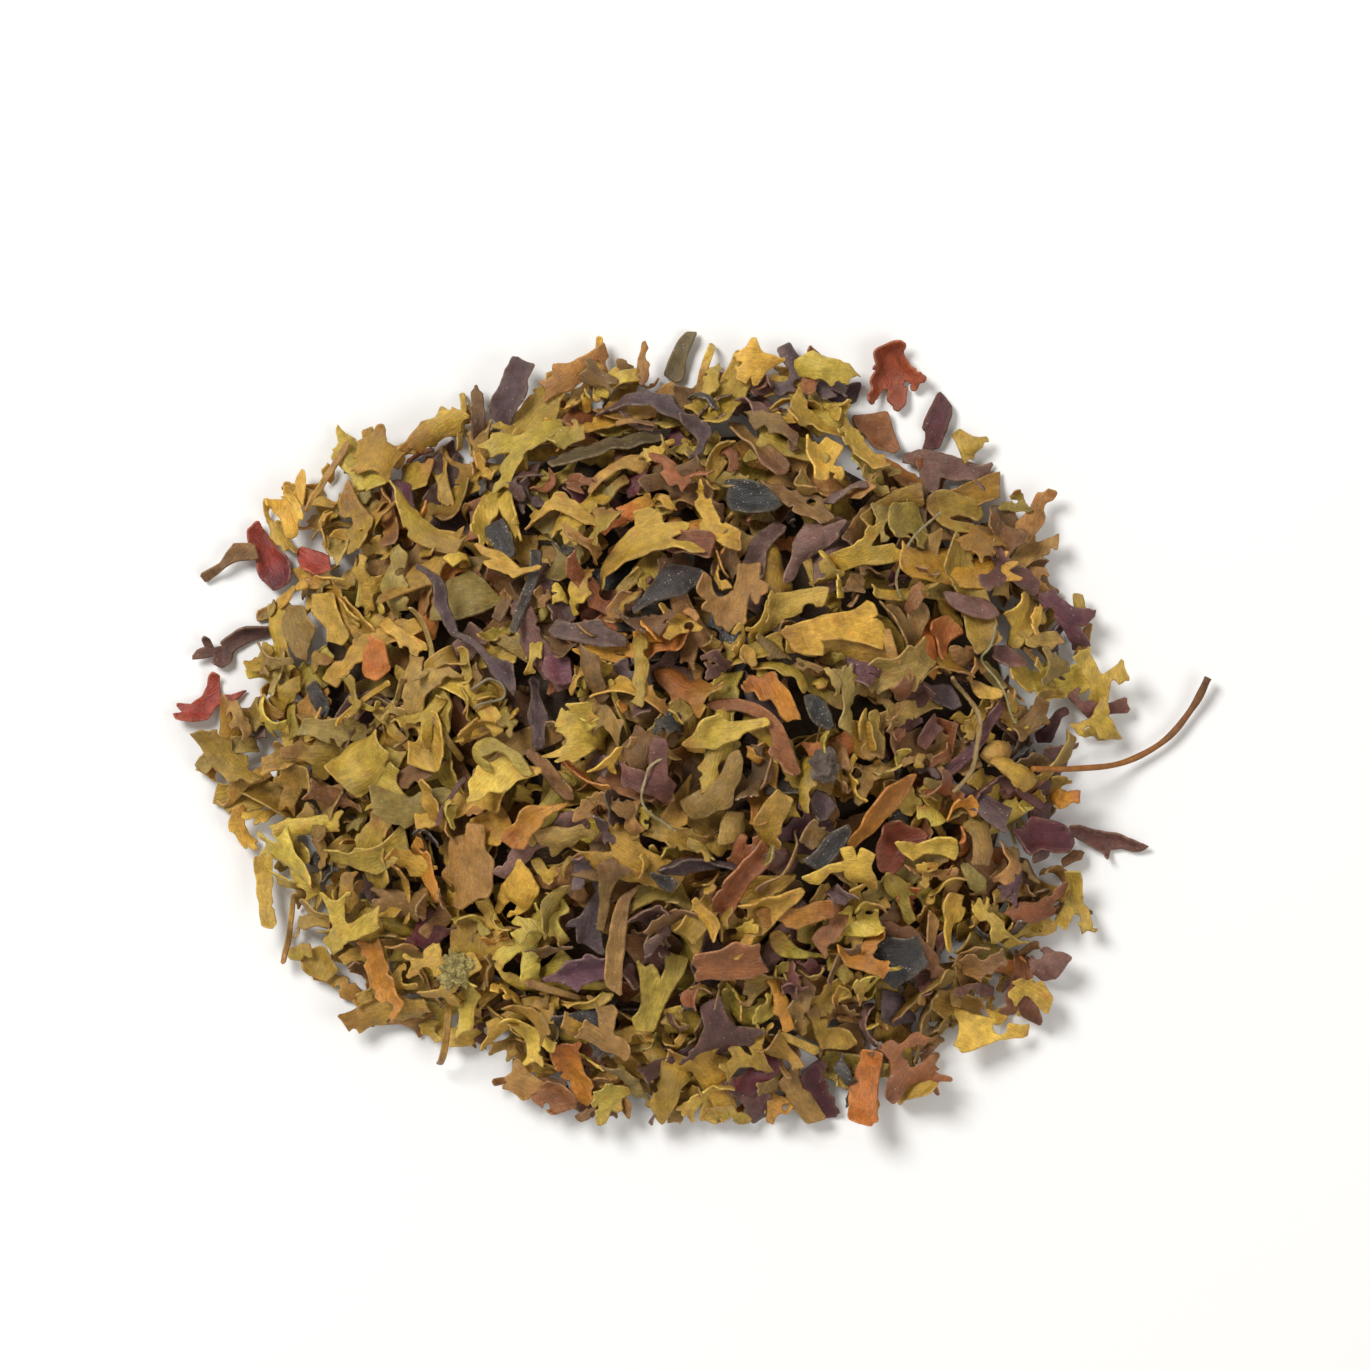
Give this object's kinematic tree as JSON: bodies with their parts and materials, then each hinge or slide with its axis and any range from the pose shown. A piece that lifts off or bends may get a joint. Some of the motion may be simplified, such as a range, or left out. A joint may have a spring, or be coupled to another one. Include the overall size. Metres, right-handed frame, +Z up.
{
  "type": "heap of dried irish moss",
  "caption": "Low loose heap of dried, cut red seaweed: small forked, curled and strap-like scraps in olive, amber, brown, red and dark purple, with one thin stem end at its side.",
  "frame": {"origin": "middle of the heap's base, under the middle of everything that lies in it, on the surface it lies on", "axes": "+Z up, away from the surface; +X along the heap's length, towards the side with the thin stem end"},
  "size_m": [0.0742, 0.0564, 0.016],
  "materials": {
    "olive": "dried olive-yellow blade, matt to satin, slightly translucent",
    "gold": "dried mustard-yellow blade, satin, translucent",
    "khaki": "dried dull khaki blade, matt",
    "tan": "dried tan blade, matt",
    "amber": "dried amber blade, satin, translucent",
    "orange": "dried orange-brown blade, satin",
    "rust": "dried rust-brown blade, matt",
    "brown": "dried brown blade, matt",
    "brick": "dried brick-red blade, satin, translucent",
    "red": "dried red blade, satin, translucent",
    "wine": "dried wine-red blade, satin",
    "plum": "dried plum blade, matt",
    "plum_brown": "dried plum-brown blade, matt",
    "plum_grey": "dried grey-plum blade, matt",
    "mauve": "dried mauve-brown blade, matt",
    "slate": "dried slate-black blade, matt",
    "grey_green": "dried grey-green blade, matt",
    "lichen": "pale green crust, rough",
    "grey": "grey crust, rough"
  },
  "bodies": {
    "root": {"olive_bed": "olive", "dark_gill": "slate", "plum_brown_blade": "plum_brown", "olive_tongue": "olive", "slate_tail": "slate", "speckled_strap": "slate", "broad_khaki_blade": "khaki", "gold_prong": "gold", "plum_chip": "plum", "mauve_pod": "mauve", "purple_ribbon": "plum_grey", "olive_wave": "olive", "slate_shield": "slate", "grey_green_strap": "grey_green", "dark_arch": "plum_grey", "dark_hook": "plum_grey", "tan_strap": "tan", "yellow_star": "gold", "rust_fan": "rust", "mauve_strap": "mauve", "mauve_blade": "mauve", "tan_antler": "tan", "mauve_antler": "mauve", "gold_antler": "olive", "gold_toothed_strap": "gold", "purple_loop": "wine", "orange_tee": "orange", "plum_flake": "plum_grey", "dark_chip": "slate", "orange_lump": "orange", "amber_chip": "amber", "brown_arch": "rust", "amber_leaf": "amber", "brown_strap": "brown", "plum_leaf": "plum_grey", "toothed_gold": "gold", "brick_chunk": "brick", "olive_antler": "olive", "slate_shard": "slate", "amber_blade": "amber", "yellow_boat": "gold", "wine_fold": "wine", "wine_antler": "plum_brown", "dark_curl": "plum_grey", "broad_tan_blade": "tan", "slate_antler": "plum_grey", "rust_plate": "rust", "pink_wing": "plum", "three_fork": "gold", "bright_crumple": "gold", "wine_strip": "wine", "red_blade": "red", "red_antler": "red", "purple_antler": "plum_brown", "dark_stick": "grey_green", "wine_shard": "wine", "red_crumple": "brick", "brown_stem": "rust", "lichen_crumb": "lichen", "grey_knob": "grey"}
  },
  "joints": []
}
